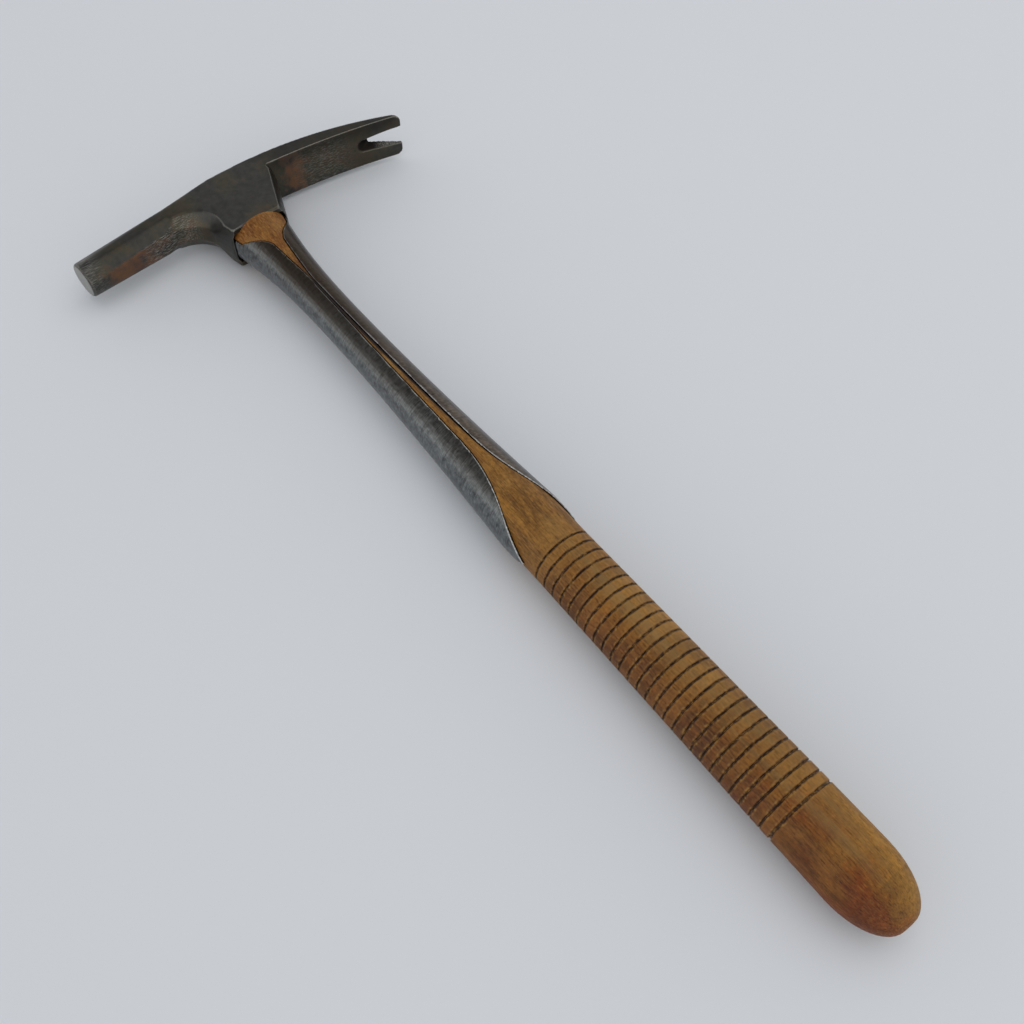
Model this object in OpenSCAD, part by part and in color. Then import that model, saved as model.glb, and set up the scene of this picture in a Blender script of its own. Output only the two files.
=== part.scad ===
// Upholsterer's tack hammer, lying on its side on a table.
// The handle runs along X with the butt at -X and the crown of the head at +X.
// The striking face looks along +Y, the claw points along -Y, and +Z is up.
// The origin is on the head's lower cheek, under the middle of the eye. Sizes are in millimetres.
// The hammer rests on its butt and on the swell of its neck, which reach a little below the head.

/* [Head] */
// Thickness of the head from cheek to cheek
head_thick = 15.6; // [15.4:0.1:17]
// Depth of the eye from its lower rim to the crown, along the handle
eye_depth = 24.6; // [23.5:0.1:27]
// Distance from the handle's axis to the side of the eye block under the poll, at the rim
poll_side = 10; // [9.9:0.1:11.5]
// Distance from the handle's axis to the side of the eye block under the claw, at the rim
claw_side = 9.9; // [9.8:0.1:11.5]
// Distance from the handle's axis to the striking face
face_reach = 52; // [42:0.5:60]
// Diameter of the round striking face
face_d = 11; // [9:0.25:12]
// Width of the bevel around the striking face
face_bevel = 0.6; // [0.2:0.1:1]
// Tilt of the striking face towards the butt
face_tilt = 5; // [0:0.5:6]
// Radius of the hollow between the eye block and the poll
poll_hollow_r = 8.5; // [6:0.25:9.5]
// Worn bevel around the rim of the eye block, along the handle
rim_bevel = 0.6; // [0.3:0.1:0.8]

/* [Claw] */
// Distance from the handle's axis to the tip of the claw
claw_reach = 61.6; // [54:0.1:72]
// Radius of the crown's droop over the claw
crown_r = 127; // [115:1:160]
// Thickness of the claw where it leaves the eye block
claw_root_t = 5.5; // [4.8:0.1:6.5]
// Thickness of the claw at its tip
claw_tip_t = 0.8; // [0.6:0.1:1.2]
// How far the claw's underside is hollowed between its root and its tip
claw_hollow = 1.2; // [0.4:0.1:1.6]
// Width of the claw across its two prongs
claw_w = 15.5; // [14:0.1:16]
// Radius of the claw's outer corners
claw_corner_r = 2.4; // [1:0.1:3.5]
// Width of the slot's mouth on the side that faces the butt
slot_mouth_w = 6.8; // [5.8:0.1:7.4]
// Depth of the slot on the side that faces the butt
slot_depth = 19.2; // [15:0.1:22]
// Radius of the slot's round end on the side that faces the butt
slot_end_r = 3.1; // [2:0.1:3.2]
// Width of the slot's mouth on the crown side
slot_far_w = 5.6; // [5.4:0.1:5.8]
// Depth of the slot on the crown side
slot_far_depth = 9.6; // [9.4:0.1:11]
// Radius of the slot's round end on the crown side
slot_far_end_r = 0.7; // [0.4:0.1:1]

/* [Eye] */
// Width of the eye at the crown, along the head
eye_w = 15.6; // [14.4:0.2:16.4]
// Width of the eye at the crown, from cheek to cheek
eye_thick = 11.4; // [10.8:0.2:11.8]
// Corner radius of the eye at the crown
eye_corner_r = 4.5; // [3:0.25:5]
// Diameter of the eye's round mouth at the rim
mouth_d = 20.2; // [19.8:0.1:20.4]

/* [Handle] */
// Distance from the middle of the eye to the end of the butt
butt_reach = 272; // [260:0.5:300]
// Distance from the middle of the eye to the first groove
grip_start = 157.9; // [154:0.1:162]
// Diameter of the grip at the first groove
grip_front_d = 17.4; // [16.4:0.1:18]
// Largest diameter of the butt
butt_d = 19; // [18.6:0.1:20]
// Length of the rounded end of the butt
dome_len = 15; // [10:0.5:18]
// Flat spot at the very end of the butt
dome_flat_d = 3; // [1:0.25:6]
// Spacing of the grooves turned in the grip
groove_pitch = 3.175; // [2.8:0.025:3.3]
// Number of grooves
groove_count = 27; // [20:1:27]
// Width of each groove
groove_w = 0.6; // [0.4:0.05:0.9]
// Depth of each groove
groove_depth = 0.45; // [0.3:0.05:0.7]
// Width of the last groove, next to the butt
last_groove_w = 0.95; // [0.6:0.05:1.3]

/* [Neck] */
// Smallest diameter of the strapped neck
waist_d = 12.2; // [11.6:0.1:13.6]
// Distance from the middle of the eye to the waist
waist_reach = 58.9; // [50:0.1:66]
// How much slimmer the bare wood is than the straps beside it
strap_proud = 0.35; // [0.2:0.05:0.6]

/* [Straps] */
// Thickness of the strap steel
strap_t = 1.1; // [0.9:0.05:1.3]
// Distance from the middle of the eye to the tips of the straps
strap_reach = 153.4; // [148:0.1:155]
// How far the strap tips stand above the grip
tip_proud = 0.65; // [0.4:0.05:0.9]
// Open gap between a strap's edge and the wood beside it
edge_gap = 0.4; // [0.25:0.05:0.6]
// Width of the bare seam where the two straps come closest
seam_min_w = 0.7; // [0.6:0.1:1.6]
// Width of the bare seam where it starts to flare towards the grip
seam_max_w = 3; // [2.4:0.1:4]
// Length of the flare that bares the wood towards the grip
tongue_len = 39.5; // [34:0.5:44]
// Length of the flare that bares the wood under the head
thumb_len = 29; // [24:0.5:34]
// Width of each strap's tang inside the eye
tang_w = 6.6; // [5.5:0.1:8]

/* [Wedges] */
// Thickness of the wooden wedge at the crown
wood_wedge_t = 2.6; // [2:0.1:3.4]
// How deep the wooden wedge goes into the handle
wood_wedge_depth = 19; // [15:0.5:21]
// Thickness of the steel wedge at the crown
steel_wedge_t = 1.6; // [1.2:0.1:2.2]
// How deep the steel wedge goes into the wooden one
steel_wedge_depth = 13; // [10:0.5:15]
// Width of the steel wedge, from cheek to cheek
steel_wedge_w = 9.5; // [8:0.25:10.5]

/* [Hidden] */
$fn = 96;

// Clearance of every seat between two pieces
fit = 0.05;
// Extra length that lets a cut run clear through
past = 2;
axis_h = head_thick / 2;
cheek_z = head_thick / 2;
rim_x = -eye_depth / 2;
crown_x = eye_depth / 2;

// Crown: a straight back over the poll that turns into the droop of the claw
crown_slope = 2.3;
crown_turn_y = -3.9;
turn_x = crown_x - crown_turn_y * tan(crown_slope);
apex_y = crown_turn_y - crown_r * sin(crown_slope);
crown_centre_x = turn_x - crown_r * cos(crown_slope);
function crown_at(y) =
    y > crown_turn_y ? crown_x - y * tan(crown_slope)
    : crown_centre_x + sqrt(pow(crown_r, 2) - pow(y - apex_y, 2));

// Points of an arc from p to q that bulges to its left by the height sag
function arc_between(p, q, sag, steps) =
    let (mid = (p + q) / 2, half = norm(q - p) / 2, dir = (q - p) / norm(q - p))
    let (r = (pow(half, 2) + pow(sag, 2)) / (2 * sag), left = [-dir[1], dir[0]])
    let (centre = mid + left * (sag - r), sweep = asin(half / r))
    [for (i = [0:steps]) let (a = sweep * (2 * i / steps - 1)) centre + r * (dir * sin(a) + left * cos(a))];
// A half profile and its mirror image below the middle
function both_halves(half) = concat(half, [for (i = [len(half) - 1:-1:0]) [half[i][0], -half[i][1]]]);

// Eye block: bulge of its two sides, and how far they have spread where the arms leave
poll_side_r = 24;
poll_shoulder_r = 12;
claw_side_r = 16.2;
shoulder_x = 5;
poll_shoulder = poll_side + 4.4;
claw_shoulder = claw_side + 6.5;
cheek_turn_y = 4;
rim_inset = 0.45;
// At the crown the block ends inside the poll
crown_inset = 6;

// Poll: half of its section at the middle, as [along the handle, half thickness]
poll_mid_y = 21;
poll_mid_z = cheek_z - 1.4;
poll_mid_x = crown_at(poll_mid_y);
poll_mid = [
    [poll_mid_x, poll_mid_z - 1.2], [poll_mid_x - 1.2, poll_mid_z], [poll_mid_x - 5, poll_mid_z],
    [poll_mid_x - 7.2, poll_mid_z - 1.6], [poll_mid_x - 8.3, poll_mid_z - 2.5]
];
// The same at its root, inside the eye block
poll_root_y = cheek_turn_y;
poll_root_x = crown_at(poll_root_y);
poll_root = [
    [poll_root_x, cheek_z - 0.2], [poll_root_x - 0.2, cheek_z - fit], [poll_root_x - 4.6, cheek_z - fit],
    [poll_root_x - 6, cheek_z - 2.6], [poll_root_x - 6.6, cheek_z - 4.4]
];
// Round hollow in the corner under the poll, which flares at the cheeks
hollow_x = poll_mid[4][0] - poll_hollow_r;
hollow_y = poll_side + (poll_shoulder - poll_side) * (hollow_x - rim_x) / (shoulder_x - rim_x) + poll_hollow_r;
hollow_flare = 3.4;
hollow_straight = cheek_z / 3;
// The steel it is cut from starts inside the eye block
corner_y = poll_side - 2;
corner_z = cheek_z - (cheek_z - poll_mid_z) * (corner_y - cheek_turn_y) / (poll_mid_y - cheek_turn_y) - fit;
corner_x = crown_at(corner_y);
poll_corner = [[corner_x, corner_z - 0.8], [corner_x - 0.8, corner_z], [hollow_x, corner_z]];
// The striking face leans about its own middle, and its upper edge meets the line of the crown
face_r = face_d / 2;
face_x = crown_at(face_reach) - face_r;

// Claw: where its underside starts on the eye block and ends at the tip
claw_root_y = -(claw_shoulder - 1.4);
claw_root_x = crown_at(claw_root_y) - claw_root_t;
claw_tip_x = crown_at(-claw_reach) - claw_tip_t;
claw_taper_len = 13;

// Neck: radius of the strapped neck at a place along the axis
waist_x = -waist_reach;
tip_x = -strap_reach;
neck_swell = 9.35;
// The straps are pinched flat where they enter the eye
pinch_w = 9.15;
pinch_len = 2;
head_flare = 2.6;
grip_flare = 1.7;
grip_swell_x = -143.9;
function neck_r(x) =
    x > waist_x ? waist_d / 2 + (neck_swell - waist_d / 2) * pow((x - waist_x) / (rim_x - waist_x), head_flare)
    : waist_d / 2 + (neck_swell - waist_d / 2) * pow((waist_x - x) / (waist_x - grip_swell_x), grip_flare);
function grip_r(x) =
    let (start = -grip_start, end = start - groove_pitch * groove_count)
    grip_front_d / 2 + (butt_d - grip_front_d) / 2 * max(0, min(1, (start - x) / (start - end)));
function strap_r(x) = min(neck_r(x), grip_r(x) + tip_proud);
// Bare wood lies lower than the straps and runs on into the grip
function wood_r(x) = min(grip_r(tip_x) + (x - tip_x > tongue_len ? neck_swell : 0), neck_r(x) - strap_proud);

// Bare wood: half the width of the seam between the straps at a place along the axis
tongue_x = tip_x + tongue_len;
thumb_x = rim_x - thumb_len;
tongue_curve = 2.15;
// Under the head it widens slowly at first, then into a round bulb at the rim
thumb_slim = 2.6;
bulb_len = 11.5;
bulb_gap = 1;
tip_over = 0.1;
tang_step = 0.3;
thumb_half = sqrt(pow(neck_swell, 2) - pow(tang_w / 2 + tang_step, 2));
function seam_half(x) =
    let (along = max(0, min(1, (thumb_x - x) / (thumb_x - tongue_x))))
    let (seam = (seam_min_w + (seam_max_w - seam_min_w) * along) / 2)
    let (tongue = sin(90 * pow(max(0, (tongue_x - x) / tongue_len), tongue_curve)))
    let (thumb = max(0, (x - thumb_x) / thumb_len))
    let (bulb = (1 + cos(180 * max(0, min(1, (rim_x - bulb_gap - x) / bulb_len)))) / 2)
    x > thumb_x ? seam + thumb_slim * thumb + (thumb_half - seam - thumb_slim) * bulb
    : min(neck_swell, seam + (strap_r(x) + tip_over - seam) * tongue);
function seam_gap(x) = min(edge_gap, seam_half(x) / 2);

// Stations along the neck, from the strap tips to the rim
neck_steps = 30;
neck_stations = [for (i = [0:neck_steps]) tip_x + (rim_x - tip_x) * i / neck_steps];
seam_steps = 48;
seam_stations = [for (i = [0:seam_steps]) tip_x + (rim_x - tip_x) * i / seam_steps];

// Wedges: thickness of their lower edge, and how far the handle's end shows past the crown
wedge_edge = 0.5;
tenon_proud = 0.3;

// Seat in the eye: radius of the strap's outside between the rim and the crown
seat_len = 6;
tang_r = eye_w / 2 - fit;
tang_end_x = crown_x - 1.5;
seat_outer = [[rim_x + 1.5, neck_swell - 0.3], [rim_x + 3.5, tang_r + 0.6], [rim_x + seat_len, tang_r]];
wood_seat = [[rim_x + 1.5, neck_swell - 0.3], [rim_x + 3.5, tang_r + 0.6], [rim_x + seat_len - fit, tang_r]];
// The eye's mouth is round, but no wider than the straps need and no thicker than the eye
mouth_r = mouth_d / 2;
mouth_half_w = pinch_w + 0.1;
tenon_half = eye_thick / 2 - fit;
mouth_seat = [
    [rim_x, mouth_r], [rim_x + 1.5, neck_swell + 0.15], [rim_x + 3.5, tang_r + 0.6 + fit],
    [rim_x + seat_len, eye_w / 2]
];

module on_axis() { translate([0, 0, axis_h]) children(); }
module turned(profile) { rotate([0, 90, 0]) rotate_extrude() polygon(profile); }
module across(x, length) { translate([x, 0, 0]) rotate([90, 0, 90]) linear_extrude(length) children(); }
module side_view(thick) { translate([0, 0, -thick / 2]) linear_extrude(thick) children(); }
// Turns a list of [place along the axis, radius] into a closed profile for turning
function solid_of(outline) = concat(
    [[0, outline[0][0]]], [for (p = outline) [p[1], p[0]]], [[0, outline[len(outline) - 1][0]]]
);
function tube_of(outline, inner_cut) = concat(
    [for (p = outline) [p[1], p[0]]],
    [for (i = [len(outline) - 1:-1:0]) [outline[i][1] - inner_cut, outline[i][0]]]
);

// Cross-section of the eye block, flat on the cheeks and bulging at the sides
module block_section(to_poll, to_claw, poll_r) {
    intersection() {
        translate([0, -cheek_z]) square([to_poll, head_thick]);
        translate([to_poll - poll_r, 0]) circle(r = poll_r);
    }
    intersection() {
        translate([-to_claw, -cheek_z]) square([to_claw, head_thick]);
        translate([claw_side_r - to_claw, 0]) circle(r = claw_side_r);
    }
}

// Plan of the head from the butt's side: cheeks that thin out towards the poll
module head_plan() {
    across(rim_x - past, eye_depth + 2 * past) polygon(both_halves([
        [-claw_reach, cheek_z], [cheek_turn_y, cheek_z], [poll_mid_y, poll_mid_z], [face_reach, poll_mid_z]
    ]));
}

module eye_block() {
    intersection() {
        hull() {
            across(rim_x, 0.1) offset(delta = -rim_inset)
                block_section(poll_side, claw_side, poll_side_r, $fn = 64);
            across(rim_x + rim_bevel, 0.1) block_section(poll_side, claw_side, poll_side_r, $fn = 64);
            across(shoulder_x, 0.1) block_section(poll_shoulder, claw_shoulder, poll_shoulder_r, $fn = 64);
            across(crown_x, 1) block_section(poll_side - crown_inset, claw_shoulder, poll_side_r, $fn = 64);
        }
        side_view(head_thick) polygon(concat(
            [[rim_x, -claw_shoulder - past], [rim_x, poll_shoulder + past]],
            [for (y = [poll_shoulder + past, crown_turn_y]) [crown_at(y), y]],
            [for (i = [1:4]) let (y = crown_turn_y - (claw_shoulder + past + crown_turn_y) * i / 4) [crown_at(y), y]]
        ));
        head_plan();
    }
}

module poll_slab(y, half) {
    translate([0, y, 0]) rotate([90, 0, 0]) linear_extrude(0.1) polygon(both_halves(half));
}

module poll_arm() {
    hull() {
        poll_slab(poll_root_y, poll_root);
        poll_slab(poll_mid_y, poll_mid);
    }
    hull() {
        poll_slab(corner_y, poll_corner);
        poll_slab(poll_mid_y, poll_mid);
    }
    hull() {
        poll_slab(poll_mid_y, poll_mid);
        translate([face_x, face_reach, 0]) rotate([-90, 0, face_tilt]) translate([0, 0, -face_bevel])
            cylinder(r1 = face_r, r2 = face_r - face_bevel, h = face_bevel, $fn = 48);
    }
}

module poll_hollow() {
    translate([hollow_x, hollow_y, 0]) rotate_extrude() polygon([
        [0, -cheek_z - 1], [poll_hollow_r + hollow_flare, -cheek_z - 1], [poll_hollow_r, -hollow_straight],
        [poll_hollow_r, hollow_straight], [poll_hollow_r + hollow_flare, cheek_z + 1], [0, cheek_z + 1]
    ]);
}

module claw_arm() {
    corner = [for (i = [0:6]) let (a = 90 * i / 6)
        [-claw_reach + claw_corner_r * (1 - sin(a)), claw_w / 2 - claw_corner_r * (1 - cos(a))]];
    intersection() {
        side_view(head_thick) polygon(concat(
            [for (i = [0:16]) let (y = -claw_reach * i / 16) [crown_at(y), y]],
            arc_between([claw_tip_x, -claw_reach], [claw_root_x, claw_root_y], -claw_hollow, 8),
            [[claw_root_x, 0]]
        ));
        across(claw_tip_x - past, turn_x - claw_tip_x + 2 * past) polygon(both_halves(concat(
            [[0, cheek_z], [claw_root_y, cheek_z], [claw_root_y - claw_taper_len, claw_w / 2]], corner
        )));
    }
}

// One face of the claw's slot: a mouth at the tip, straight sides and a round end
module slot_face(tip, end, mouth_w, end_r) {
    depth = norm(end - tip);
    tilt = atan2(end[0] - tip[0], end[1] - tip[1]);
    translate([tip[0], tip[1], 0]) rotate([0, 0, -tilt]) across(0, 0.1) hull() {
        translate([-past, -mouth_w / 2]) square([past, mouth_w]);
        translate([depth - end_r, 0]) circle(r = end_r, $fn = 32);
    }
}

// The slot narrows from the underside of the claw to its crown side
slot_over = 0.4;
module claw_slot() {
    near_end_x = crown_at(slot_depth - claw_reach) - claw_root_t;
    far_y = slot_far_depth - claw_reach;
    hull() {
        slot_face([claw_tip_x - slot_over, -claw_reach], [near_end_x, slot_depth - claw_reach],
            slot_mouth_w, slot_end_r);
        slot_face([crown_at(-claw_reach) + slot_over, -claw_reach], [crown_at(far_y) + slot_over, far_y],
            slot_far_w, slot_far_end_r);
    }
}

module eye_outline(gap) {
    half = [eye_w / 2 - eye_corner_r, eye_thick / 2 - eye_corner_r];
    for (sy = [-1, 1], sz = [-1, 1]) translate([sy * half[0], sz * half[1]]) circle(r = eye_corner_r - gap);
    square([eye_w - 2 * gap, 2 * half[1]], center = true);
    square([2 * half[0], eye_thick - 2 * gap], center = true);
}

module head() {
    color("#4a4842") on_axis() difference() {
        union() {
            eye_block();
            poll_arm();
            claw_arm();
        }
        poll_hollow();
        claw_slot();
        intersection() {
            turned(solid_of(concat([[rim_x - past, mouth_r]], mouth_seat)));
            translate([rim_x - past, -mouth_half_w, -eye_thick / 2]) cube([eye_depth, 2 * mouth_half_w, eye_thick]);
        }
        across(rim_x + seat_len - 1, eye_depth) eye_outline(0);
    }
}

// Whole outside of a strap: neck, seat in the eye's mouth and tang
strap_outline = concat(
    [for (x = neck_stations) [x, strap_r(x)]], seat_outer, [[tang_end_x, tang_r]]
);

// Plan of one strap: everything beyond the seam, or the wider room it needs in the wood
module strap_plan() {
    polygon(concat(
        [for (x = seam_stations) [x, seam_half(x)]],
        [[rim_x + 0.1, seam_half(rim_x)], [rim_x + 0.1, 2 * neck_swell], [tip_x, 2 * neck_swell]]
    ));
}
module pocket_plan() {
    polygon(concat(
        [[tip_x - edge_gap, seam_half(tip_x) - edge_gap]],
        [for (x = seam_stations) [x, seam_half(x) - seam_gap(x)]],
        [[rim_x + fit, 2 * neck_swell], [tip_x - edge_gap, 2 * neck_swell]]
    ));
}
module tang_room(gap) {
    translate([rim_x - fit, tang_r / 2, -tang_w / 2 - gap])
        cube([tang_end_x - rim_x + gap + fit, 2 * neck_swell, tang_w + 2 * gap]);
}

module strap() {
    intersection() {
        turned(tube_of(strap_outline, strap_t));
        union() {
            side_view(3 * neck_swell) strap_plan();
            tang_room(0);
        }
        side_view(3 * neck_swell) polygon([
            [tip_x - past, 0], [tip_x - past, 2 * neck_swell], [rim_x - 2 * pinch_len, 2 * neck_swell],
            [rim_x - pinch_len, pinch_w], [tang_end_x + past, pinch_w], [tang_end_x + past, 0]
        ]);
    }
}

module face_strap() { color("#7b8087") on_axis() strap(); }

module claw_strap() { color("#665f5a") on_axis() mirror([0, 1, 0]) strap(); }

// Room that one strap takes out of the wood, open to the outside
module strap_pocket() {
    floor_cut = strap_t + fit;
    intersection() {
        turned(concat(
            [[strap_r(tip_x) - floor_cut, tip_x - edge_gap]],
            [for (p = strap_outline) [p[1] - floor_cut, p[0]]],
            [[tang_r - floor_cut, tang_end_x + fit]],
            [[2 * neck_swell, tang_end_x + fit], [2 * neck_swell, tip_x - edge_gap]]
        ));
        union() {
            side_view(3 * neck_swell) pocket_plan();
            tang_room(fit);
        }
    }
}

// One turned groove of the grip
function groove_at(i) =
    let (x = -grip_start - i * groove_pitch, w = i == groove_count - 1 ? last_groove_w : groove_w)
    [[x + w / 2, grip_r(x)], [x + w / 5, grip_r(x) - groove_depth],
     [x - w / 5, grip_r(x) - groove_depth], [x - w / 2, grip_r(x)]];

// Turned outside of the wood: butt, grooved grip, neck and the seat in the eye's mouth
module turned_wood() {
    butt_x = -butt_reach;
    dome_x = butt_x + dome_len;
    dome_flat = dome_flat_d / 2;
    turned(solid_of(concat(
        [[butt_x, dome_flat]],
        [for (i = [1:12]) let (a = 90 * i / 12)
            [dome_x - dome_len * cos(a), dome_flat + (butt_d / 2 - dome_flat) * sin(a)]],
        [for (i = [groove_count - 1:-1:0], k = [3:-1:0]) groove_at(i)[k]],
        [for (x = neck_stations) [x, wood_r(x)]],
        wood_seat
    )));
}

// Side view of a wedge, thin at its lower edge; a gap makes the room it is driven into
module wedge_outline(thick, depth, gap) {
    low_x = crown_x - depth - gap;
    top_x = crown_x + tenon_proud;
    over_x = top_x + (gap > 0 ? past : 0);
    low = wedge_edge / 2 + gap;
    high = thick / 2 + gap;
    polygon([
        [low_x, -low], [low_x, low], [top_x, high], [over_x, high], [over_x, -high], [top_x, -high]
    ]);
}
module wood_wedge_shape(gap) {
    side_view(gap > 0 ? eye_thick + past : eye_thick - 2 * fit) wedge_outline(wood_wedge_t, wood_wedge_depth, gap);
}
module steel_wedge_shape(gap) {
    rotate([90, 0, 0]) side_view(steel_wedge_w + 2 * gap) wedge_outline(steel_wedge_t, steel_wedge_depth, gap);
}

module handle() {
    color("#a9743a") on_axis() difference() {
        union() {
            turned_wood();
            across(rim_x + seat_len - 1, eye_depth - seat_len + 1 + tenon_proud) eye_outline(fit);
        }
        // The neck's swell stops at the rim, above and below the eye
        for (side = [-1, 1]) translate([rim_x - fit, -mouth_r, side > 0 ? tenon_half : -tenon_half - mouth_r])
            cube([eye_depth, 2 * mouth_r, mouth_r]);
        strap_pocket();
        mirror([0, 1, 0]) strap_pocket();
        wood_wedge_shape(fit);
        steel_wedge_shape(fit);
    }
}

module wooden_wedge() {
    color("#c59a62") on_axis() difference() {
        wood_wedge_shape(0);
        steel_wedge_shape(fit);
    }
}

module steel_wedge() { color("#8b8d90") on_axis() steel_wedge_shape(0); }

head();
handle();
face_strap();
claw_strap();
wooden_wedge();
steel_wedge();
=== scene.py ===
"""Upholstery hammer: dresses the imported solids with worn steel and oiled, ring-turned wood.

The head, the two straps and the wood are modelled from copies of the frame's solids, so they keep
their sizes. X runs along the handle towards the head. Lengths are in metres, but the materials and
the tests for pick_points count in millimetres.
"""

import math

import bpy
import numpy as np
from mathutils import Matrix, Vector


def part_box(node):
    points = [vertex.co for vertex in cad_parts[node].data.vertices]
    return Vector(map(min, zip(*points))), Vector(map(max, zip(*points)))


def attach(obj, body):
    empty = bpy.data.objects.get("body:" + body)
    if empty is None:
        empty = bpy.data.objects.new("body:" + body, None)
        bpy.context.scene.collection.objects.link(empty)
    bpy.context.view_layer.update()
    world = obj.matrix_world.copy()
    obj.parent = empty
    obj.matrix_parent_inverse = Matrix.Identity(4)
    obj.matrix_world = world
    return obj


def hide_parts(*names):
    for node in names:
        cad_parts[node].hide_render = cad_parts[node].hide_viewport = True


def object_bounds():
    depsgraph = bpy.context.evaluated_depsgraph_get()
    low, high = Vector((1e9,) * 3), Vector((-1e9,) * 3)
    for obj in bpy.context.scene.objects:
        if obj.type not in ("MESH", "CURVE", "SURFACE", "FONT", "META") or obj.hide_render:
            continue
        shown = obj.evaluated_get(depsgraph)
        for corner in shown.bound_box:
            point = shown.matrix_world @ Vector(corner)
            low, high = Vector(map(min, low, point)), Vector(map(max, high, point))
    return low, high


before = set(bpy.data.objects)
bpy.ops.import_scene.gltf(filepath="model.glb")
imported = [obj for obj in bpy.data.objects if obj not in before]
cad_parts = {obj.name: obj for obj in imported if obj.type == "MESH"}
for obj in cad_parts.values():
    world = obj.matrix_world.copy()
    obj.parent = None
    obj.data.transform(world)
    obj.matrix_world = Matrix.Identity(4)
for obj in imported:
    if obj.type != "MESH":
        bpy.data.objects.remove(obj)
CAD_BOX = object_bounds()
MM = 0.001
AXIS_Z = 0.5 * (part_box("handle")[0][2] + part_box("handle")[1][2])
FLOOR_Z = CAD_BOX[0][2]

# The claw's hollow underside, in millimetres: its tip is at Y = -CLAW_REACH, and at a distance t
# from there along Y its X is HOLLOW_START + HOLLOW_SLOPE * t + HOLLOW_BEND * t * t.
CLAW_REACH = 61.6
HOLLOW_START = 0.35
HOLLOW_SLOPE = 0.235
HOLLOW_BEND = -0.0017

# The outside of the straps' tongues: its radius, from where the neck starts to swell until it
# stands proud of the grip, and half the width of the seam between them.
NECK_START = -58.9 * MM
NECK_RADIUS = 6.1 * MM
NECK_SWELL = 3.25 * MM
NECK_LENGTH = 85 * MM
NECK_CURVE = 1.7
TIP_RADIUS = 9.35 * MM
HALF_SEAM = 1.5 * MM
# The share of the tongue that is bent from a grid, and the power that its taper follows.
BENT_SHARE = 0.85
TAPER_CURVE = 2.15

# A radius just outside the floor of the first groove, in millimetres, and how it shrinks towards
# the head for each millimetre.
GROOVE_RADIUS = 8.55
GROOVE_TAPER = 0.0093

bl_info = {
    "name": "Upholstery hammer",
    "version": (1, 0, 0),
    "blender": (4, 5, 0),
    "location": "3D View > Sidebar > Hammer",
    "description": "Builds a strapped upholstery hammer with worn steel and oiled wood",
    "category": "Add Mesh",
}


def linear(code):
    """Turns an sRGB hex value such as 8a6a40 into a linear colour with alpha."""
    parts = [int(code[i : i + 2], 16) / 255 for i in (0, 2, 4)]
    return [p / 12.92 if p <= 0.04045 else ((p + 0.055) / 1.055) ** 2.4 for p in parts] + [1]


def colour(name, description, code):
    """A colour that a user can change."""
    return bpy.props.FloatVectorProperty(
        name=name, description=description, default=linear(code), size=4, min=0, max=1, subtype="COLOR"
    )


def length(name, description, default):
    """A length that a user can change, given in millimetres."""
    return bpy.props.FloatProperty(name=name, description=description, default=default * MM, unit="LENGTH")


class HammerSizes(bpy.types.PropertyGroup):
    head_grain: length("Head mesh", "Spacing of the mesh points on the head", 0.25)
    strap_grain: length("Strap mesh", "Spacing of the mesh points on the straps", 0.2)
    strap_thickness: length("Strap thickness", "Thickness of the strap at its tongue", 1.05)
    strap_reach: length("Strap reach", "From the middle of the eye to the straps' tips", 153.4)
    tongue_length: length("Tongue length", "Length over which a strap narrows to its tip", 39.5)
    grip_start: length("Grip start", "From the middle of the eye to the first groove", 157.9)
    groove_pitch: length("Groove pitch", "Spacing of the turned grooves", 3.175)
    groove_count: bpy.props.IntProperty(
        name="Grooves", description="Number of grooves turned in the grip", default=27, min=1, max=40
    )


class HammerColours(bpy.types.PropertyGroup):
    skin: colour("Forge skin", "Dark skin of the forged head", "403f3c")
    olive: colour("Olive skin", "Where the skin of the head turns olive", "494639")
    brown: colour("Brown skin", "Where the skin of the head turns brown", "4b3f35")
    rust: colour("Rust", "Patches of light rust on the head", "6b4222")
    bare: colour("Bare steel", "Rubbed edges and fine scratches", "a3a097")
    blue_steel: colour("Blue-grey strap", "Strap on the striking side", "555654")
    brown_steel: colour("Brown strap", "Strap on the claw side", "5c5249")
    wood: colour("Wood", "Middle tone of the oiled wood", "84591c")
    wood_dark: colour("Dark grain", "Dark streaks along the grain", "58380f")
    wood_pale: colour("Worn wood", "Where the hand has worn the wood pale", "9a7135")
    wood_warm: colour("Sheltered wood", "Orange wood that the straps have sheltered", "6f4010")
    stain: colour("Stain", "Orange-brown stains of old finish", "7d420b")
    dirt: colour("Dirt", "Dirt in the grooves of the grip", "2f1c0c")
    floor: colour("Floor", "Painted board under the hammer", "d8dbde")


def only(obj):
    """Makes obj the one thing selected and active."""
    for other in bpy.context.selected_objects:
        other.select_set(False)
    obj.select_set(True)
    bpy.context.view_layer.objects.active = obj


def edit_mesh(obj, action, **settings):
    """Runs a mesh operator on the whole of obj."""
    only(obj)
    bpy.ops.object.mode_set(mode="EDIT")
    bpy.ops.mesh.select_all(action="SELECT")
    action(**settings)
    bpy.ops.object.mode_set(mode="OBJECT")


def copy_solid(source, name):
    """Copies a solid of the frame as a new object with its loose triangles merged."""
    obj = bpy.data.objects.new(name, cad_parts[source].data.copy())
    bpy.context.scene.collection.objects.link(obj)
    obj.data.name = name
    obj.data.materials.clear()
    edit_mesh(obj, bpy.ops.mesh.remove_doubles, threshold=0.002 * MM)
    if "custom_normal" in obj.data.attributes:
        obj.data.attributes.remove(obj.data.attributes["custom_normal"])
    return obj


def apply_modifier(obj, kind, **settings):
    """Adds a modifier to obj, sets it up and applies it."""
    only(obj)
    modifier = obj.modifiers.new(kind, kind)
    for name, value in settings.items():
        setattr(modifier, name, value)
    bpy.ops.object.modifier_apply(modifier=modifier.name)


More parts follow.
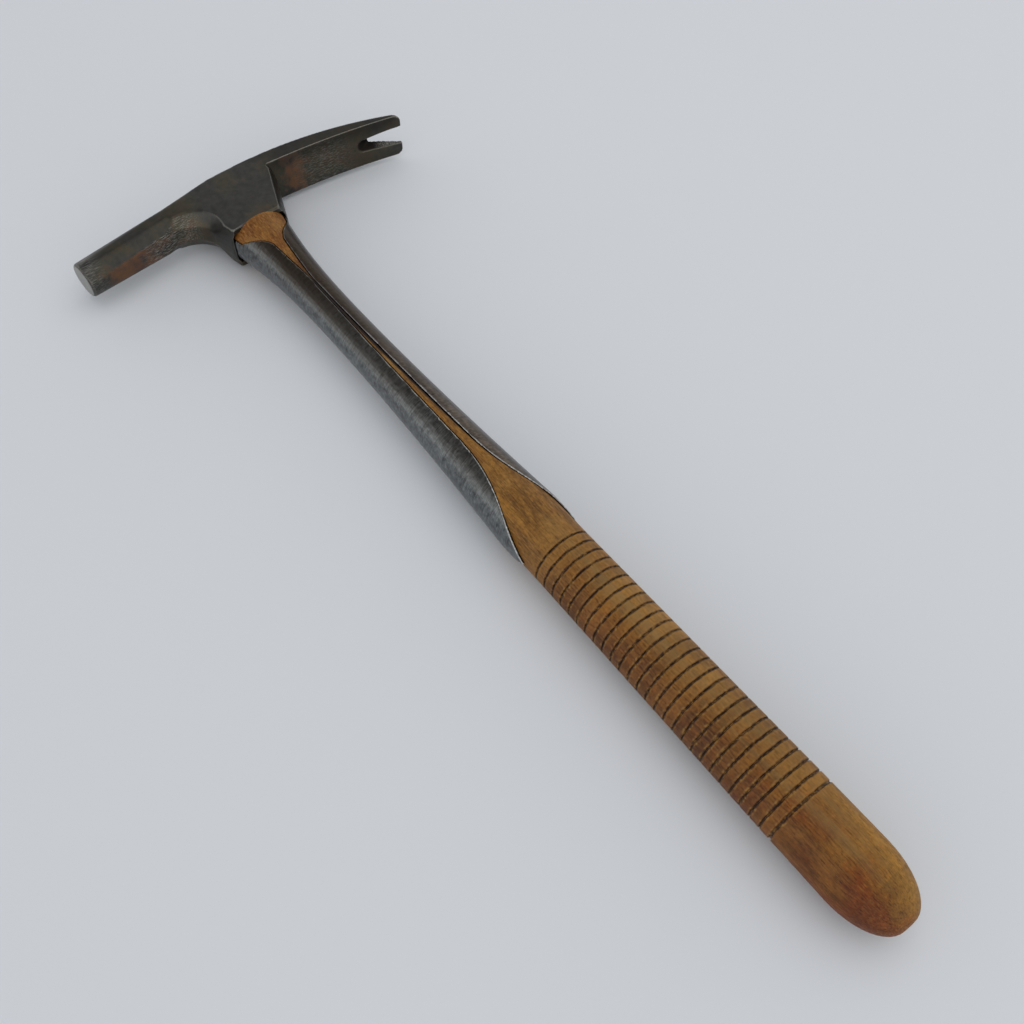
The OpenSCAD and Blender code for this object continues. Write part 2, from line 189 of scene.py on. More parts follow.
def soften(obj, grain, passes):
    """Rebuilds obj with even faces of that size and rounds its edges as handling does."""
    apply_modifier(obj, "REMESH", mode="VOXEL", voxel_size=grain, use_smooth_shade=True)
    apply_modifier(obj, "SMOOTH", factor=0.5, iterations=passes)


def wear_down(obj, grain, keep):
    """Marks where obj would be worn and which corners get painted shade, and thins its mesh to the share
    that is kept.
    """
    mark_wear_and_corners(obj, passes=5, size=0.35 * grain)
    apply_modifier(obj, "DECIMATE", ratio=keep)
    only(obj)
    bpy.ops.object.shade_smooth()


def pick_points(obj, name, inside):
    """Puts the points whose place in millimetres passes the test in a vertex group, by weight."""
    group = obj.vertex_groups.new(name=name)
    for point in obj.data.vertices:
        weight = inside(*(1000 * c for c in point.co))
        if weight > 0:
            group.add([point.index], min(1, weight), "REPLACE")


def fine_noise(name, size):
    """A cloud texture for a Displace modifier, with grains of that size."""
    texture = bpy.data.textures.new(name, "CLOUDS")
    texture.noise_scale = size
    texture.noise_depth = 3
    return texture


def roughen(obj, texture, direction, mid_level, group):
    """Moves the points of a vertex group within half a millimetre, as the texture says."""
    apply_modifier(
        obj,
        "DISPLACE",
        texture=texture,
        texture_coords="LOCAL",
        direction=direction,
        strength=0.5 * MM,
        mid_level=mid_level,
        vertex_group=group,
    )


def mark_wear_and_corners(obj, passes, size):
    """Stores how far each point stands out of its surroundings: 1 on a sharp edge, -1 in a corner."""
    mesh = obj.data
    count = len(mesh.vertices)
    place = np.empty(count * 3)
    mesh.vertices.foreach_get("co", place)
    place = place.reshape(-1, 3)
    normal = np.empty(count * 3)
    mesh.vertex_normals.foreach_get("vector", normal)
    ends = np.empty(len(mesh.edges) * 2, dtype=np.int32)
    mesh.edges.foreach_get("vertices", ends)
    one, two = ends[0::2], ends[1::2]
    share = np.maximum(1, np.bincount(one, minlength=count) + np.bincount(two, minlength=count))
    flat = place.copy()
    for _ in range(passes):
        total = [
            np.bincount(one, flat[two, k], count) + np.bincount(two, flat[one, k], count) for k in range(3)
        ]
        flat = 0.5 * flat + 0.5 * np.stack(total, 1) / share[:, None]
    out = ((place - flat) * normal.reshape(-1, 3)).sum(1) / size
    wear_and_corner_shade = mesh.attributes.new("wear_and_corner_shade", "FLOAT", "POINT")
    wear_and_corner_shade.data.foreach_set("value", np.clip(out, -1, 1).astype(np.float32))


def finish_piece(obj, nodes, material):
    """Puts the material on obj and ties it to the frame."""
    obj.data.materials.clear()
    obj.data.materials.append(material)
    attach(obj, "root")
    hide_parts(*nodes)


def add(tree, kind, inputs=None, **settings):
    """Adds a node, sets it up, feeds its inputs from sockets or plain values, and returns it."""
    made = tree.nodes.new("ShaderNode" + kind)
    for name, value in settings.items():
        setattr(made, name, value)
    for key, value in (inputs or {}).items():
        if isinstance(value, bpy.types.NodeSocket):
            tree.links.new(value, made.inputs[key])
        else:
            made.inputs[key].default_value = value
    return made


def maths(tree, kind, *values, clamp=False):
    """Adds a Math node of that kind and returns its result."""
    return add(tree, "Math", dict(enumerate(values)), operation=kind, use_clamp=clamp).outputs[0]


def times(tree, first, *others):
    """Multiplies all the values."""
    for other in others:
        first = maths(tree, "MULTIPLY", first, other)
    return first


def vector_maths(tree, kind, *values):
    """Adds a Vector Math node of that kind and returns the vector that it gives."""
    return add(tree, "VectorMath", dict(enumerate(values)), operation=kind).outputs[0]


def split(tree, vector):
    """Returns the X, Y and Z of a vector."""
    return list(add(tree, "SeparateXYZ", {0: vector}).outputs)


def ramp(tree, value, low, high, start=0.0, end=1.0):
    """Maps value from low and high to start and end, and holds it there outside them."""
    return add(tree, "MapRange", {0: value, 1: low, 2: high, 3: start, 4: end}).outputs[0]


def blend(tree, part, one, other, kind="MIX"):
    """Turns a colour by that part into the other, or into their product if kind is MULTIPLY."""
    return add(tree, "Mix", {0: part, 6: one, 7: other}, data_type="RGBA", blend_type=kind).outputs[2]


def noise(tree, place, scale, detail, rough=0.5, twist=0.0):
    """Adds a noise texture and returns its strength at each place. Scale is in grains to the mm."""
    inputs = {"Vector": place, "Scale": scale, "Detail": detail, "Roughness": rough, "Distortion": twist}
    return add(tree, "TexNoise", inputs).outputs["Fac"]


def stretched_noise(tree, place, stretch, detail, rough=0.5, twist=0.0):
    """Noise with its own number of grains to the mm along X, Y and Z."""
    return noise(tree, vector_maths(tree, "MULTIPLY", place, stretch), 1.0, detail, rough, twist)


def new_material(name):
    """An empty material, its node tree, and a coordinate that counts in millimetres."""
    material = bpy.data.materials.new(name)
    material.use_nodes = True
    tree = material.node_tree
    tree.nodes.clear()
    place = add(tree, "TexCoord").outputs["Object"]
    scaled = add(tree, "VectorMath", {0: place, "Scale": 1000.0}, operation="SCALE").outputs[0]
    return material, tree, scaled


def forged_steel():
    """Old forged carbon steel: a dark, half-gloss scale skin that turns olive and brown, rubbed
    bright along its edges, with thin rust and fine scratches on the poll and under the claw, and painted
    shade in its slot, hollows and corners."""
    colours = bpy.context.scene.hammer_colours
    material, tree, place = new_material("Forged steel with scale skin")
    x, y, z = split(tree, place)
    facing_x, facing_y, facing_z = split(tree, add(tree, "NewGeometry").outputs["Normal"])
    sideways = maths(tree, "ABSOLUTE", facing_z)
    wear_and_corner_shade = add(tree, "Attribute", attribute_name="wear_and_corner_shade").outputs["Fac"]

    def stretch_of(start, full, fade, end):
        """A stretch along Y, which runs from the claw's tip through the eye to the striking face."""
        return times(tree, ramp(tree, y, start, full), ramp(tree, y, end, fade))

    # Clouds of tone 12 mm across, and mottling 2 mm across.
    clouds = noise(tree, place, 0.08, 4.0)
    mottle = noise(tree, place, 0.5, 6.0, rough=0.6)
    grit = noise(tree, place, 3.0, 3.0)
    skin = blend(tree, ramp(tree, clouds, 0.45, 0.6), colours.skin, colours.olive)
    brown_part = ramp(tree, times(tree, mottle, clouds), 0.27, 0.4)
    skin = blend(tree, brown_part, skin, colours.brown)
    skin = blend(tree, 1.0, skin, ramp(tree, mottle, 0.3, 0.7, 0.78, 1.2), "MULTIPLY")

    # Rust along the poll's lower side and, fainter, under the claw's root, with ragged edges.
    lower = times(tree, ramp(tree, facing_x, -0.5, -0.66), ramp(tree, sideways, 0.7, 0.35))
    claw_root = times(tree, stretch_of(-32, -25, -22, -15), 0.85)
    zone = times(tree, maths(tree, "MAXIMUM", stretch_of(8, 32, 43, 51), claw_root), lower)
    ragged = maths(tree, "MULTIPLY_ADD", maths(tree, "ADD", mottle, clouds), 1.3, zone)
    rust_part = add(
        tree, "MapRange", {0: ragged, 1: 1.75, 2: 2.45, 4: 0.75}, interpolation_type="SMOOTHSTEP"
    ).outputs[0]
    tone = blend(tree, rust_part, skin, colours.rust)
    # The striking face is worn to plain metal.
    struck = times(tree, ramp(tree, facing_y, 0.85, 0.95), stretch_of(50, 51, 55, 56))
    tone = blend(tree, struck, tone, linear("8c8b86"))

    # Fine scratches, 0.2 mm wide and 2.5 mm long, that cross on the poll's lower facet, on the
    # claw, and all round the poll next to its striking face.
    on_claw = times(tree, stretch_of(-46, -38, -30, -22), 0.5)
    scratched = times(tree, maths(tree, "MAXIMUM", stretch_of(12, 18, 27, 35), on_claw), lower)
    at_face = times(tree, stretch_of(45, 49, 54, 55), 0.5)
    scratched = maths(tree, "MAXIMUM", scratched, at_face)
    scratch = 0.0
    for turn in (0.7, -0.5):
        turned = {0: place, "Rotation": (0.0, 0.3, turn), "Scale": (4.5, 0.4, 4.5)}
        streaks = noise(tree, add(tree, "Mapping", turned).outputs[0], 1.0, 2.0)
        scratch = maths(tree, "MAXIMUM", ramp(tree, streaks, 0.53, 0.72), scratch)
    scratch = times(tree, scratch, scratched, 0.72)
    # Bare metal shows in the scratches and on rubbed edges, which the grit breaks.
    edge = times(tree, ramp(tree, wear_and_corner_shade, 0.25, 0.85, end=0.95), grit)
    bare_part = maths(tree, "MAXIMUM", edge, scratch, clamp=True)
    tone = blend(tree, bare_part, tone, colours.bare)

    # The slot of the claw: painted shade, near black, at its round end, and rubbed bright along its
    # prongs.
    # It starts under the claw's hollow underside, which climbs by a parabola from the tip.
    from_middle = maths(tree, "ABSOLUTE", maths(tree, "SUBTRACT", z, AXIS_Z / MM))
    from_tip = maths(tree, "ADD", y, CLAW_REACH)
    climb = maths(tree, "MULTIPLY_ADD", from_tip, HOLLOW_BEND, HOLLOW_SLOPE)
    underside = maths(tree, "MULTIPLY_ADD", climb, from_tip, HOLLOW_START)
    depth = maths(tree, "SUBTRACT", x, underside)
    between = times(tree, ramp(tree, from_middle, 3.7, 3.4), ramp(tree, depth, 0.1, 0.5))
    slot = times(tree, between, stretch_of(-63, -62, -42, -41.5))
    bright = ramp(tree, grit, 0.42, 0.62, 0.15, 0.85)
    rubbed = times(tree, ramp(tree, y, -52.0, -57.5), bright)
    tone = blend(tree, slot, tone, blend(tree, rubbed, linear("17110d"), colours.bare))
    # The hollow side of the eye block under the claw gets painted shade.
    hollow = times(tree, ramp(tree, facing_y, -0.35, -0.75, end=0.7), stretch_of(-20, -18, -9, -8))
    tone = blend(tree, hollow, tone, linear("1d1a17"))
    # The flat sides of the claw keep the darkest skin; those of the poll are darkened a little as painted
    # shade.
    poll_side_shade = times(tree, stretch_of(12, 20, 42, 49), 0.65)
    sides = maths(tree, "MAXIMUM", stretch_of(-66, -65, -20, -10), poll_side_shade)
    sides = times(tree, ramp(tree, sideways, 0.68, 0.9, end=0.55), sides)
    sides = maths(tree, "SUBTRACT", sides, bare_part, clamp=True)
    tone = blend(tree, sides, tone, linear("1f1c19"))
    # Painted shade along one side of the claw's hollow underside, and in the corners.
    claw_hollow_shade = times(tree, ramp(tree, z, 9.5, 14.0, end=0.6), lower, stretch_of(-63, -58, -20, -12))
    claw_hollow_shade = maths(tree, "SUBTRACT", claw_hollow_shade, edge, clamp=True)
    tone = blend(tree, claw_hollow_shade, tone, linear("1d1a16"))
    tone = blend(tree, ramp(tree, wear_and_corner_shade, -0.15, -0.7), tone, linear("171512"))

    rough = ramp(tree, mottle, 0.3, 0.7, 0.32, 0.46)
    rough = add(tree, "Mix", {0: rust_part, 2: rough, 3: 0.75}).outputs[0]
    metal = ramp(tree, rust_part, 0.0, 1.0, 0.85, 0.2)
    relief = add(tree, "Mix", {0: 0.35, 2: mottle, 3: grit}).outputs[0]
    bump = add(tree, "Bump", {"Height": relief, "Strength": 0.25, "Distance": 0.12 * MM}).outputs[0]
    shader = add(
        tree, "BsdfPrincipled", {"Base Color": tone, "Metallic": metal, "Roughness": rough, "Normal": bump}
    )
    add(tree, "OutputMaterial", {0: shader.outputs[0]})
    return material


def strap_steel(name, tone):
    """Mild steel strip, drawn to a half round and filed: a satin metal with fine marks across it,
    burnished edges, tarnished brown with painted shade near the head, a painted sheen on its flanks, and
    grey-brown clouds."""
    material, tree, place = new_material(name)
    x = split(tree, place)[0]
    normal = add(tree, "NewGeometry").outputs["Normal"]
    _, facing_y, facing_z = split(tree, normal)
    wear_and_corner_shade = add(tree, "Attribute", attribute_name="wear_and_corner_shade").outputs["Fac"]
    # Clouds 17 mm long and 7 mm wide, and marks across the strip, 0.3 mm apart along the handle.
    clouds = stretched_noise(tree, place, (0.06, 0.15, 0.15), 4.0)
    marks = stretched_noise(tree, place, (3.2, 0.3, 0.3), 3.0, rough=0.6)
    grit = noise(tree, place, 2.5, 3.0)
    mottle = noise(tree, place, 0.8, 5.0, rough=0.6)
    dull = blend(tree, 0.45, tone, linear("3c3833"))
    base = blend(tree, ramp(tree, clouds, 0.42, 0.62), tone, dull)
    # The flanks, away from the seams, are painted brighter as a sheen.
    flank_sheen = ramp(tree, maths(tree, "ABSOLUTE", facing_y), 0.55, 0.97, end=0.36)
    base = blend(tree, flank_sheen, base, linear("8c9093"))
    base = blend(tree, 1.0, base, ramp(tree, marks, 0.35, 0.65, 0.68, 1.25), "MULTIPLY")
    base = blend(tree, 1.0, base, ramp(tree, mottle, 0.35, 0.65, 0.66, 1.3), "MULTIPLY")
    # Tarnished brown, with painted shade, along the seam where the strap faces up and down, heavier
    # towards the head.
    tarnish_and_top_shade = maths(tree, "MULTIPLY_ADD", mottle, 0.8, maths(tree, "ABSOLUTE", facing_z))
    near_head = ramp(tree, x, -100.0, -45.0, 0.12, 0.82)
    tarnish_and_top_shade = times(tree, ramp(tree, tarnish_and_top_shade, 0.9, 1.25), near_head)
    base = blend(tree, tarnish_and_top_shade, base, linear("33291f"))
    # The sheared edge of the strip stands across the radius of the handle and is made dark brown.
    from_axis = vector_maths(tree, "SUBTRACT", place, (0.0, 0.0, AXIS_Z / MM))
    radius = vector_maths(tree, "NORMALIZE", vector_maths(tree, "MULTIPLY", from_axis, (0.0, 1.0, 1.0)))
    slope = add(tree, "VectorMath", {0: radius, 1: normal}, operation="DOT_PRODUCT").outputs["Value"]
    base = blend(tree, ramp(tree, slope, 0.62, 0.4, end=0.9), base, linear("2c2018"))
    # Other edges are burnished, more so towards the tip.
    near_tip = ramp(tree, x, -45.0, -115.0, 0.25, 1.1)
    edge = times(tree, ramp(tree, wear_and_corner_shade, 0.2, 0.7, end=1.3), near_tip)
    edge = maths(tree, "MULTIPLY", edge, grit, clamp=True)
    base = blend(tree, edge, base, linear("c4c5c3"))

    rough = ramp(tree, marks, 0.3, 0.7, 0.26, 0.4)
    bump = add(tree, "Bump", {"Height": marks, "Strength": 0.3, "Distance": 0.05 * MM}).outputs[0]
    shader = add(
        tree, "BsdfPrincipled", {"Base Color": base, "Metallic": 1.0, "Roughness": rough, "Normal": bump}
    )
    add(tree, "OutputMaterial", {0: shader.outputs[0]})
    return material


def oiled_wood():
    """Open-pored hardwood, turned, oiled and handled: amber with dark pores 2.5 mm long along the
    grain, paler where the palm rubs, orange stains near the butt, and dirt in the grooves; painted light
    and shade on its two sides and in the seam, and painted highlights along the grip and its groove lips."""
    sizes = bpy.context.scene.hammer_sizes
    colours = bpy.context.scene.hammer_colours
    material, tree, place = new_material("Oiled turned hardwood")
    x, y, _ = split(tree, place)
    # Bands of grain 50 mm long and 3 mm wide, and fibres 2.5 mm long and 0.3 mm wide.
    bands = stretched_noise(tree, place, (0.02, 0.35, 0.35), 4.0, twist=0.4)
    fibres = stretched_noise(tree, place, (0.4, 3.0, 3.0), 4.0, rough=0.65)
    clouds = noise(tree, place, 0.09, 3.0)
    grit = noise(tree, place, 1.0, 5.0, rough=0.7)
    tone = blend(tree, ramp(tree, bands, 0.35, 0.65), colours.wood, colours.wood_dark)
    # The bare wood under the head keeps its warm tone, and the palm wears the rest pale in clouds.
    tone = blend(tree, ramp(tree, x, -60.0, -35.0, end=0.75), tone, colours.wood_warm)
    tone = blend(tree, ramp(tree, clouds, 0.45, 0.65, end=0.6), tone, colours.wood_pale)
    # Near the butt the wood is stained orange on its striking side, and on the other it gets a painted
    # amber highlight.
    near_butt = ramp(tree, x, -215.0, -255.0)
    striking_side = ramp(tree, y, -5.0, 4.0, start=0.15)
    stain_part = times(tree, ramp(tree, clouds, 0.56, 0.42, end=0.9), near_butt, striking_side)
    tone = blend(tree, stain_part, tone, colours.stain)
    amber = times(tree, maths(tree, "SUBTRACT", 1.0, striking_side), near_butt, 0.6)
    tone = blend(tree, amber, tone, linear("9a7128"))
    # Pale flecks, dark pores and mottling 1 mm across.
    tone = blend(tree, ramp(tree, fibres, 0.5, 0.34, end=0.6), tone, colours.wood_pale)
    pores = ramp(tree, fibres, 0.54, 0.68, end=0.7)
    tone = blend(tree, pores, tone, linear("38220b"))
    tone = blend(tree, 1.0, tone, ramp(tree, grit, 0.3, 0.7, 0.7, 1.3), "MULTIPLY")
    # Painted light and shade: the claw side of the grip and butt, towards the lamp, is lighter, and the
    # striking side darker.
    held = ramp(tree, x, -145.0, -172.0)
    oiled = blend(tree, ramp(tree, y, -8.0, 8.0), (1.2, 1.18, 1.0, 1.0), (0.58, 0.42, 0.23, 1.0))
    tone = blend(tree, held, tone, oiled, "MULTIPLY")
    # A dull, pale strip along the middle of the grip, partly worn dry by the palm and partly a painted
    # sheen, that fades at the butt.
    from_strip = maths(tree, "ABSOLUTE", maths(tree, "ADD", y, 1.0))
    streaked = ramp(tree, bands, 0.38, 0.58, 0.25, 1.0)
    fading = ramp(tree, x, -248.0, -264.0, 1.0, 0.2)
    strip = times(tree, ramp(tree, from_strip, 5.5, 1.0, end=0.7), streaked, held, fading)
    tone = blend(tree, strip, tone, linear("846537"))
    # Dark smudges at the very end of the butt.
    smudge = times(tree, ramp(tree, bands, 0.5, 0.64, end=0.55), ramp(tree, grit, 0.5, 0.62))
    smudge = times(tree, smudge, ramp(tree, x, -258.0, -267.0))
    tone = blend(tree, smudge, tone, linear("2a180c"))
    # The wood in the seam between the straps gets painted shade, and only its striking side clears towards
    # the grip.
    clear = maths(tree, "ADD", y, maths(tree, "MULTIPLY_ADD", x, -0.026, -1.96))
    seam = times(tree, ramp(tree, clear, 0.25, -0.1), ramp(tree, x, -30.0, -44.0))
    seam = times(tree, seam, ramp(tree, x, -122.0, -112.0))
    tone = blend(tree, seam, tone, linear("1c1008"))

    # The grooves are counted from 0 at the first one, and wander by up to 0.13 mm.
    pitch = sizes.groove_pitch / MM
    start = sizes.grip_start / MM
    wander = ramp(tree, noise(tree, place, 0.35, 3.0), 0.25, 0.75, -0.13, 0.13)
    along = maths(tree, "ADD", x, wander)
    count = add(tree, "MapRange", {0: along, 1: -start, 2: -start - pitch}, clamp=False).outputs[0]
    # Each ring between two grooves has its own tone.
    ring = add(tree, "TexWhiteNoise", {"W": maths(tree, "FLOOR", count)}, noise_dimensions="1D").outputs[0]
    ring = add(tree, "Mix", {0: held, 2: 1.0, 3: ramp(tree, ring, 0.0, 1.0, 0.86, 1.14)}).outputs[0]
    tone = blend(tree, 1.0, tone, ring, "MULTIPLY")
    # How far a point is from the middle of the nearest groove, as a share of the pitch.
    part = maths(tree, "FRACT", maths(tree, "ADD", count, 0.5))
    away = maths(tree, "ABSOLUTE", maths(tree, "SUBTRACT", part, 0.5))
    grooves = sizes.groove_count
    grooved = times(tree, ramp(tree, count, -0.3, -0.25), ramp(tree, count, grooves - 0.6, grooves - 0.7))
    # The lips of the grooves are pale in places: chipped, and with a painted highlight.
    lip = times(tree, ramp(tree, away, 0.95 / pitch, 0.5 / pitch), grooved)
    chipped_and_highlit = times(tree, ramp(tree, grit, 0.52, 0.4, end=0.7), lip)
    tone = blend(tree, chipped_and_highlit, tone, colours.wood_pale)
    # Dirt lies in the grooves, thicker in some places than in others, and the last groove is
    # clogged black on its far side.
    groove = times(tree, ramp(tree, away, 0.56 / pitch, 0.24 / pitch), grooved)
    groove = times(tree, groove, ramp(tree, grit, 0.38, 0.56, 0.25, 1.0))
    clogged = times(tree, ramp(tree, count, grooves - 1.4, grooves - 1.3), ramp(tree, y, -3.0, -5.5))
    tone = blend(tree, groove, tone, blend(tree, clogged, colours.dirt, linear("0d0b0a")))

    rough = ramp(tree, fibres, 0.4, 0.7, 0.5, 0.7)
    relief = maths(tree, "SUBTRACT", fibres, pores)
    bump = add(tree, "Bump", {"Height": relief, "Strength": 0.3, "Distance": 0.1 * MM}).outputs[0]
    shader = add(
        tree,
        "BsdfPrincipled",
        {"Base Color": tone, "Roughness": rough, "Normal": bump, "Specular IOR Level": 0.25},
    )
    add(tree, "OutputMaterial", {0: shader.outputs[0]})
    return material


def wedge_finish(name, tone, dark, metallic, rough):
    """A wedge's finish: sawn pale wood, or plain dull steel, with fine speckle in it."""
    material, tree, place = new_material(name)
    speckle = noise(tree, place, 1.5, 4.0)
    base = blend(tree, ramp(tree, speckle, 0.4, 0.65), linear(tone), linear(dark))
    bump = add(tree, "Bump", {"Height": speckle, "Strength": 0.3, "Distance": 0.08 * MM}).outputs[0]
    shader = add(
        tree,
        "BsdfPrincipled",
        {"Base Color": base, "Metallic": metallic, "Roughness": rough, "Normal": bump},
    )
    add(tree, "OutputMaterial", {0: shader.outputs[0]})
    return material


class HAMMER_OT_head(bpy.types.Operator):
    """Model the forged head with its rubbed edges"""

    bl_idname = "hammer.head"
    bl_label = "Head"

    def execute(self, context):
        head = copy_solid("head", "forged_head")
        grain = context.scene.hammer_sizes.head_grain
        soften(head, grain, passes=5)

        def at_poll_root(x, y, z):
            """Grows inside the stretch from 9 to 27 mm, and 2 mm away from the middle plane."""
            return min((y - 9) / 4, (27 - y) / 6, (abs(z - AXIS_Z / MM) - 2) / 2)

        # The edges fade where the eye block runs into the poll.
        pick_points(head, "poll_root", at_poll_root)
        apply_modifier(head, "SMOOTH", factor=0.5, iterations=30, vertex_group="poll_root")
        wear_down(head, grain, keep=0.7)
        finish_piece(head, ["head"], forged_steel())
        return {"FINISHED"}


def bend_tongue(sizes, side):
    """Bends a flat grid round the wood as a strap's tongue and gives it its thickness, so that its
    edge stands square to the wood all the way to the tip."""
    bpy.ops.mesh.primitive_grid_add(x_subdivisions=160, y_subdivisions=30, size=2)
    tongue = bpy.context.object
    tip = -sizes.strap_reach
    for point in tongue.data.vertices:
        along = 0.5 * (1 + point.co.x)
        x = tip + along * BENT_SHARE * sizes.tongue_length
        taper = 1 - (x - tip) / sizes.tongue_length
        # The strap follows the neck, and at its tip stands proud of the grip.
        neck = NECK_START - x
        radius = min(NECK_RADIUS + NECK_SWELL * (neck / NECK_LENGTH) ** NECK_CURVE, TIP_RADIUS)
        narrowing = math.sin(0.5 * math.pi * max(0, taper) ** TAPER_CURVE)
        seam = HALF_SEAM + (radius - HALF_SEAM) * narrowing
        start = math.asin(min(1, seam / radius))
        radius -= 0.5 * sizes.strap_thickness
        angle = 0.5 * math.pi + point.co.y * (0.5 * math.pi - start)
        point.co = (x, side * radius * math.sin(angle), AXIS_Z - radius * math.cos(angle))
    edit_mesh(tongue, bpy.ops.mesh.remove_doubles, threshold=0.01 * MM)
    apply_modifier(tongue, "SOLIDIFY", thickness=sizes.strap_thickness, offset=0)
    edit_mesh(tongue, bpy.ops.mesh.normals_make_consistent, inside=False)
    return tongue


class HAMMER_OT_straps(bpy.types.Operator):
    """Model the two half-round straps along the neck"""

    bl_idname = "hammer.straps"
    bl_label = "Straps"

    def execute(self, context):
        colours = context.scene.hammer_colours
        sizes = context.scene.hammer_sizes
        for side, node, name, finish, tone in (
            (1, "face_strap", "striking_side_strap", "Filed blue-grey strip steel", colours.blue_steel),
            (-1, "claw_strap", "claw_side_strap", "Filed browned strip steel", colours.brown_steel),
        ):
            strap = copy_solid(node, name)
            tongue = bend_tongue(sizes, side)
            only(strap)
            tongue.select_set(True)
            bpy.ops.object.join()
            soften(strap, sizes.strap_grain, passes=2)
            wear_down(strap, sizes.strap_grain, keep=0.55)
            finish_piece(strap, [node], strap_steel(finish, tone))
        return {"FINISHED"}


class HAMMER_OT_wood(bpy.types.Operator):
    """Turn the wooden handle with its grooved grip"""

    bl_idname = "hammer.wood"
    bl_label = "Wooden handle"

    def execute(self, context):
        sizes = context.scene.hammer_sizes
        wood = copy_solid("handle", "turned_handle")
        # From 1 mm before the first groove to a pitch and 1 mm past the last one.
        front = -sizes.grip_start / MM + 1
        back = front - 2 - sizes.groove_count * sizes.groove_pitch / MM

        def on_grip(x, y, z):
            """1 between the two ends of the grooved stretch."""
            return float(back < x < front)

        def on_groove_floor(x, y, z):
            """1 at the bottom of its grooves."""
            limit = GROOVE_RADIUS - (x + sizes.grip_start / MM) * GROOVE_TAPER
            return on_grip(x, y, z) * (math.hypot(y, z - AXIS_Z / MM) < limit)

        # The grooves wander a little and are not equally deep all round.
        pick_points(wood, "grip", on_grip)
        pick_points(wood, "groove_floor", on_groove_floor)
        roughen(wood, fine_noise("groove wander", 4 * MM), "X", 0.5, "grip")
        roughen(wood, fine_noise("groove depth", 1.6 * MM), "NORMAL", 0.35, "groove_floor")
        only(wood)
        bpy.ops.object.shade_smooth_by_angle(angle=math.radians(35))
        finish_piece(wood, ["handle"], oiled_wood())
        return {"FINISHED"}


class HAMMER_OT_wedges(bpy.types.Operator):
    """Finish the wooden and the steel wedge in the end of the handle"""

    bl_idname = "hammer.wedges"
    bl_label = "Wedges"

    def execute(self, context):
        finishes = {
            "wooden_wedge": wedge_finish("Sawn end-grain wedge", "b08a55", "7d5a30", 0.0, 0.75),
            "steel_wedge": wedge_finish("Dull steel wedge", "77736b", "4a4238", 0.9, 0.5),
        }
        for node, finish in finishes.items():
            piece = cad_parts[node]
            piece.data.materials.clear()
            piece.data.materials.append(finish)
        return {"FINISHED"}


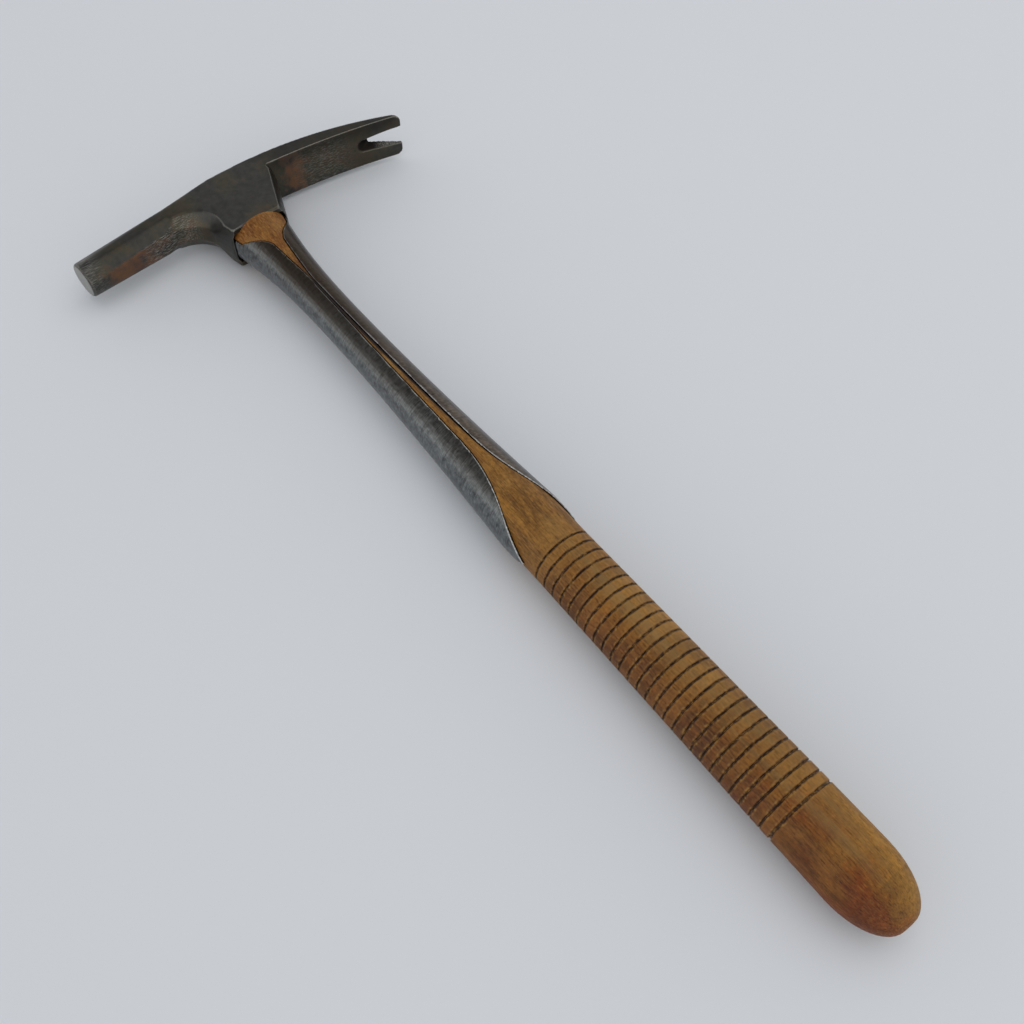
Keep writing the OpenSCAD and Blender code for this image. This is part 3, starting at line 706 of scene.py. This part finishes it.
class HAMMER_OT_stage(bpy.types.Operator):
    """Set the floor, the lights and the camera"""

    bl_idname = "hammer.stage"
    bl_label = "Floor, lights and camera"

    def execute(self, context):
        scene = context.scene
        bpy.ops.object.select_all(action="DESELECT")
        bpy.ops.mesh.primitive_plane_add(size=6, location=(0, 0, FLOOR_Z))
        floor = context.object
        floor.name = "floor"
        finish = bpy.data.materials.new("Painted board")
        finish.use_nodes = True
        tree = finish.node_tree
        tree.nodes.clear()
        shader = add(tree, "BsdfPrincipled", {"Base Color": scene.hammer_colours.floor, "Roughness": 0.75})
        add(tree, "OutputMaterial", {0: shader.outputs[0]})
        floor.data.materials.append(finish)

        world = bpy.data.worlds.new("Soft room light")
        scene.world = world
        world.use_nodes = True
        tree = world.node_tree
        tree.nodes.clear()
        # The room is lighter towards its walls than overhead, and lightest behind the striking face.
        _, across, up = split(tree, add(tree, "TexCoord").outputs["Generated"])
        tint = blend(tree, ramp(tree, up, 0.1, 0.75), linear("fdfeff"), linear("88898d"))
        tint = blend(tree, 1.0, tint, ramp(tree, across, -1.0, 1.0, 0.75, 1.2), "MULTIPLY")
        glow = add(tree, "Background", {"Color": tint, "Strength": 1.5})
        add(tree, "OutputWorld", {0: glow.outputs[0]})

        # A wide lamp nearly overhead, aimed at the middle of the handle.
        light = bpy.data.lights.new("ceiling lamp", "AREA")
        light.shape = "DISK"
        light.size = 1.7
        light.energy = 5.6
        spot = Vector((-0.25, -0.28, 1.15))
        target = Vector((-0.12, 0.0, 0.0))
        lamp = bpy.data.objects.new("ceiling lamp", light)
        lamp.location = spot
        lamp.rotation_euler = (target - spot).to_track_quat("-Z", "Y").to_euler()
        scene.collection.objects.link(lamp)

        # The place and the lens that the photograph was taken with, as fitted to its outlines.
        camera = bpy.data.objects.new("camera", bpy.data.cameras.new("camera"))
        camera.data.sensor_width = 36
        camera.data.lens = 38.67
        right = Vector((-0.6189, -0.7855, 0.0)).normalized()
        back = Vector((-0.4206, 0.3314, 0.8446)).normalized()
        above = back.cross(right)
        turn = Matrix((right, above, back)).transposed().to_4x4()
        camera.matrix_world = Matrix.Translation((-0.2597, 0.0966, 0.2496)) @ turn
        scene.collection.objects.link(camera)
        scene.camera = camera
        scene.view_settings.view_transform = "Standard"
        return {"FINISHED"}


class HAMMER_PT_panel(bpy.types.Panel):
    """Sizes, colours and building steps of the hammer"""

    bl_label = "Upholstery hammer"
    bl_idname = "HAMMER_PT_panel"
    bl_space_type = "VIEW_3D"
    bl_region_type = "UI"
    bl_category = "Hammer"

    def draw(self, context):
        column = self.layout.column()
        for operator in OPERATORS:
            column.operator(operator.bl_idname)
        for group in (context.scene.hammer_sizes, context.scene.hammer_colours):
            for name in group.__annotations__:
                column.prop(group, name)


OPERATORS = (HAMMER_OT_head, HAMMER_OT_straps, HAMMER_OT_wood, HAMMER_OT_wedges, HAMMER_OT_stage)
CLASSES = (HammerSizes, HammerColours) + OPERATORS + (HAMMER_PT_panel,)


def register():
    for kind in CLASSES:
        bpy.utils.register_class(kind)
    bpy.types.Scene.hammer_sizes = bpy.props.PointerProperty(type=HammerSizes)
    bpy.types.Scene.hammer_colours = bpy.props.PointerProperty(type=HammerColours)


def unregister():
    del bpy.types.Scene.hammer_sizes
    del bpy.types.Scene.hammer_colours
    for kind in reversed(CLASSES):
        bpy.utils.unregister_class(kind)


def main():
    register()
    bpy.ops.hammer.head()
    bpy.ops.hammer.straps()
    bpy.ops.hammer.wood()
    bpy.ops.hammer.wedges()
    bpy.ops.hammer.stage()


if __name__ == "__main__":
    main()
